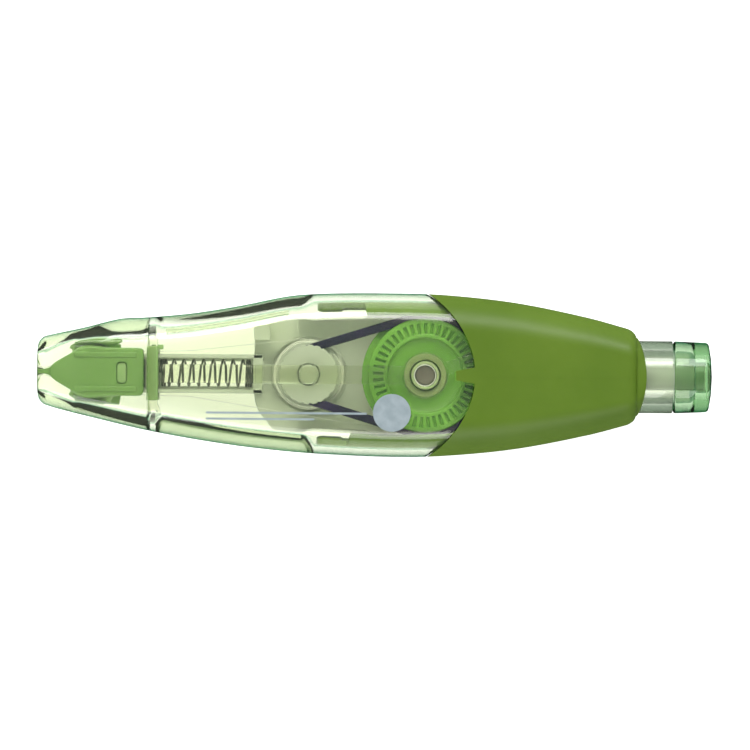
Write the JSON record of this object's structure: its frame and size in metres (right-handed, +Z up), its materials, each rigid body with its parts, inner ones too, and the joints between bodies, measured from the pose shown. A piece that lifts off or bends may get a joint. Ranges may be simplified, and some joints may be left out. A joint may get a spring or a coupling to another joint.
{
  "type": "correction tape roller",
  "caption": "Retractable pen-shaped correction tape roller: clear front case over a belt-driven tape refill, opaque rear barrel, and a clear push button that slides the tape head out.",
  "frame": {"origin": "under the middle of the case, on the flat side that it lies on", "axes": "+X from the nose to the push button, +Y across the case, +Z up from the flat side, towards the side that shows the belt drive"},
  "size_m": [0.1348, 0.0327, 0.018],
  "materials": {
    "lime_plastic": "satin, moulded",
    "clear_plastic": "clear, polished",
    "leaf_plastic": "satin, moulded",
    "frosted_plastic": "frosted, slightly translucent",
    "cream_plastic": "satin, moulded",
    "white_plastic": "satin, moulded",
    "grey_plastic": "matt",
    "tape": "matt coating on thin film",
    "belt_rubber": "smooth rubber",
    "spring_steel": "drawn wire",
    "silver_print": "silver ink, for the plain badge and lines"
  },
  "bodies": {
    "rear_case": {"rear_barrel": "lime_plastic", "latch_sleeve": "cream_plastic", "spring_collar": "leaf_plastic", "return_spring": "spring_steel"},
    "front_case": {"front_barrel": "clear_plastic", "nose_cone": "clear_plastic", "head_guide": "leaf_plastic", "guide_rail": "clear_plastic"},
    "button": {"button_tube": "clear_plastic", "button_cap": "clear_plastic", "push_rod": "frosted_plastic"},
    "rotor": {"cam_rotor": "white_plastic"},
    "refill": {"refill_frame": "frosted_plastic", "refill_bridge": "clear_plastic", "supply_axle": "cream_plastic", "hub_pin": "grey_plastic", "takeup_axle": "cream_plastic", "drive_belt": "belt_rubber", "tape_head": "leaf_plastic", "applicator_tip": "leaf_plastic", "tape_run": "tape"},
    "supply_reel": {"supply_bobbin": "cream_plastic", "supply_tape_coil": "tape"},
    "supply_drive": {"supply_pulley": "leaf_plastic", "clutch_ring": "cream_plastic"},
    "takeup_reel": {"takeup_bobbin": "cream_plastic", "takeup_tape_coil": "tape", "takeup_pulley": "frosted_plastic"}
  },
  "joints": [
    {"name": "refill_slide", "type": "slide", "parent": "rear_case", "child": "refill", "axis": [-1, 0, 0], "range_m": [0, 0.0055], "stiffness_N_per_m": 150, "springref_m": -0.004, "deforming": ["return_spring"]},
    {"name": "button_push", "type": "slide", "parent": "rear_case", "child": "button", "axis": [-1, 0, 0], "range_m": [0, 0.0055]},
    {"name": "rotor_turn", "type": "hinge", "parent": "refill", "child": "rotor", "pos_m": [0.0294, 0, 0.009], "axis": [1, 0, 0], "range_deg": [0, 45]},
    {"name": "supply_spin", "type": "hinge", "parent": "refill", "child": "supply_reel", "pos_m": [0.01, 0, 0.009], "axis": [0, 0, 1], "continuous": true},
    {"name": "supply_drive_spin", "type": "hinge", "parent": "refill", "child": "supply_drive", "pos_m": [0.01, 0, 0.0125], "axis": [0, 0, 1], "continuous": true},
    {"name": "takeup_spin", "type": "hinge", "parent": "refill", "child": "takeup_reel", "pos_m": [-0.0132, 0, 0.009], "axis": [0, 0, 1], "continuous": true},
    {"name": "case_open", "type": "slide", "parent": "rear_case", "child": "front_case", "axis": [-1, 0, 0], "range_m": [0, 0.09]}
  ],
  "couplings": [
    {"joint": "button_push", "follows": "refill_slide", "ratio": 1},
    {"joint": "rotor_turn", "follows": "refill_slide", "rad_per_m": 142.66},
    {"joint": "supply_drive_spin", "follows": "supply_spin", "ratio": 1},
    {"joint": "takeup_spin", "follows": "supply_spin", "ratio": 2.3878}
  ]
}
